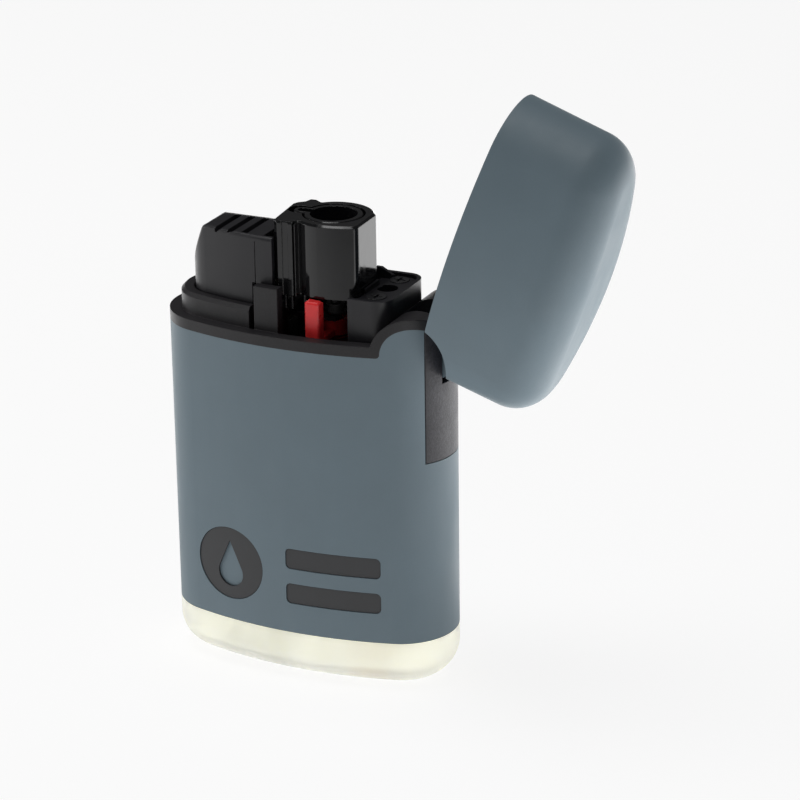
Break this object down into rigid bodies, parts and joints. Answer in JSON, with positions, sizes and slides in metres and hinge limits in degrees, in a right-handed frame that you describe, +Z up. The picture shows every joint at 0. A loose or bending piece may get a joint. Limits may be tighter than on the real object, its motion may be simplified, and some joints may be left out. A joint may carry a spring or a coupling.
{
  "type": "pocket jet lighter",
  "caption": "Windproof butane pocket lighter with a flip lid, piezo push button, shrouded burner, flame adjuster and translucent tank.",
  "frame": {"origin": "centre of the tank's flat underside, which the lighter stands on", "axes": "+Z up along the body, +X towards the lid's hinge, -Y towards the front face that carries the emblem"},
  "size_m": [0.059, 0.0172, 0.075],
  "materials": {
    "sleeve_soft_touch": "soft-touch matt",
    "frame_black": "spark-eroded matt",
    "tank_clear": "translucent satin",
    "gloss_black": "polished",
    "button_black": "matt",
    "adjuster_red": "satin",
    "stem_grey": "satin",
    "emblem_black": "matt",
    "valve_brass": "turned",
    "spring_steel": "bright wire",
    "steel": "bright",
    "screw_black": "blackened",
    "seal_rubber": "matt",
    "inner_white": "natural",
    "crystal_ceramic": "fired",
    "lead_insulation": "satin"
  },
  "bodies": {
    "housing": {"outer_sleeve": "sleeve_soft_touch", "emblem_inlay": "emblem_black", "inner_frame": "frame_black", "fuel_tank": "tank_clear", "tank_lid": "inner_white", "refill_valve_body": "valve_brass", "refill_seal": "seal_rubber", "refill_spring": "spring_steel", "dip_tube": "inner_white", "valve_seat": "valve_brass", "valve_seal": "seal_rubber", "valve_body": "valve_brass", "valve_spring": "spring_steel", "lever_pin": "steel", "burner_tube": "gloss_black", "burner_shroud": "gloss_black", "jet_nozzle": "valve_brass", "flame_plate": "steel", "burner_block": "button_black", "block_screws": "screw_black", "piezo_case": "inner_white", "piezo_crystal": "crystal_ceramic", "piezo_contacts": "steel", "piezo_impact_spring": "spring_steel", "piezo_return_spring": "spring_steel", "spark_electrode": "steel", "electrode_lead": "lead_insulation", "hinge_pin": "steel", "lid_spring": "spring_steel"},
    "lid": {"lid_shell": "sleeve_soft_touch"},
    "button": {"ignition_button": "button_black", "piezo_plunger": "inner_white"},
    "hammer": {"piezo_hammer": "steel"},
    "lever": {"gas_lever": "button_black"},
    "gas_valve": {"valve_stem": "stem_grey"},
    "adjuster": {"flame_adjuster": "adjuster_red"},
    "refill": {"refill_valve_stem": "inner_white"}
  },
  "joints": [
    {"name": "lid_hinge", "type": "hinge", "parent": "housing", "child": "lid", "pos_m": [0.0155, 0, 0.04365], "axis": [0, 1, 0], "range_deg": [-109.4, 0]},
    {"name": "button_press", "type": "slide", "parent": "housing", "child": "button", "axis": [0, 0, -1], "range_m": [0, 0.0035], "stiffness_N_per_m": 120, "springref_m": -0.001, "deforming": ["piezo_return_spring", "piezo_impact_spring"]},
    {"name": "hammer_strike", "type": "slide", "parent": "housing", "child": "hammer", "axis": [0, 0, -1], "range_m": [0, 0.002], "stiffness_N_per_m": 60, "springref_m": -0.001},
    {"name": "lever_tilt", "type": "hinge", "parent": "housing", "child": "lever", "pos_m": [-0.0026, 0, 0.0462], "axis": [0, -1, 0], "range_deg": [0, 4.25]},
    {"name": "valve_lift", "type": "slide", "parent": "housing", "child": "gas_valve", "axis": [0, 0, 1], "range_m": [0, 0.00041], "deforming": ["valve_spring"]},
    {"name": "adjuster_turn", "type": "hinge", "parent": "housing", "child": "adjuster", "pos_m": [0.0032, 0, 0.0452], "axis": [0, 0, 1], "range_deg": [-16, 16]},
    {"name": "refill_press", "type": "slide", "parent": "housing", "child": "refill", "axis": [0, 0, 1], "range_m": [0, 0.001], "stiffness_N_per_m": 40, "springref_m": -0.0005, "deforming": ["refill_spring"]}
  ],
  "couplings": [
    {"joint": "lever_tilt", "follows": "button_press", "rad_per_m": 20.94},
    {"joint": "valve_lift", "follows": "button_press", "ratio": 0.1143}
  ]
}
